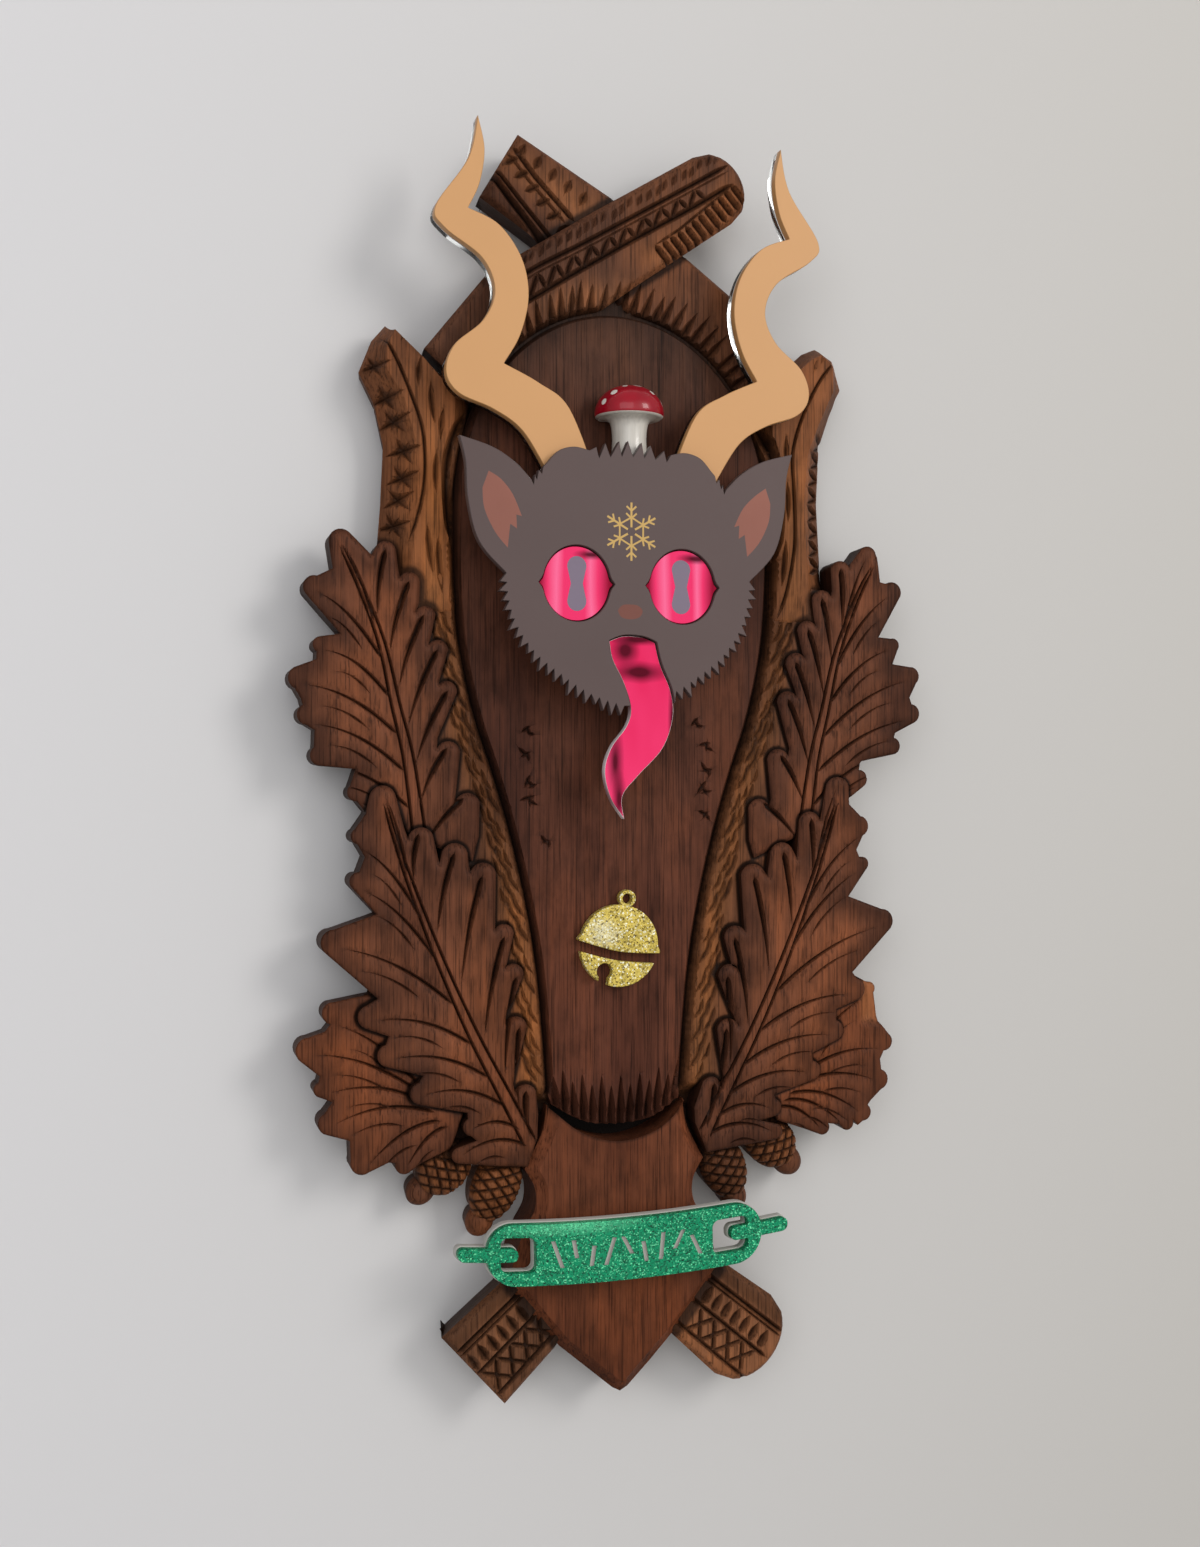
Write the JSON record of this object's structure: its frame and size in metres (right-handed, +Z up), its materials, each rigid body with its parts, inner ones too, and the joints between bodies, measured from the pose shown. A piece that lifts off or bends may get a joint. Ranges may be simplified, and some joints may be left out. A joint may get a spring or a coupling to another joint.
{
  "type": "wall mask",
  "caption": "Carved dark wood trophy board with oak leaves, acorns and crossed logs, carrying a horned beast's head in layered acrylic, a bell, a toadstool and a name tag.",
  "frame": {"origin": "on the flat back of the board, behind the crossing of the two top logs, where it hangs", "axes": "X to the right as seen from the front, Y into the wall (the front faces -Y), Z up"},
  "size_m": [0.2183, 0.0357, 0.4132],
  "materials": {
    "walnut": "dark stained, carved, satin",
    "taupe_acrylic": "matt",
    "tan_acrylic": "smooth",
    "clear_acrylic": "clear, cut edges bright",
    "red_mirror": "mirror, tinted red",
    "toadstool_glaze": "glossy, red cap with white dots, off-white stem",
    "gold_glitter": "gold glitter",
    "green_glitter": "green glitter",
    "grey_acrylic": "matt",
    "black_acrylic": "matt, out of sight"
  },
  "bodies": {
    "root": {"carved_board": "walnut", "head_plate": "taupe_acrylic", "horn_left": "tan_acrylic", "horn_right": "tan_acrylic", "horn_left_backing": "clear_acrylic", "horn_right_backing": "clear_acrylic", "eye_left": "red_mirror", "eye_right": "red_mirror", "tongue": "red_mirror", "toadstool": "toadstool_glaze", "bell_upper": "gold_glitter", "bell_lower": "gold_glitter", "name_tag": "green_glitter", "name_tag_backing": "grey_acrylic", "head_standoff": "black_acrylic", "tag_standoff": "black_acrylic"}
  },
  "joints": []
}
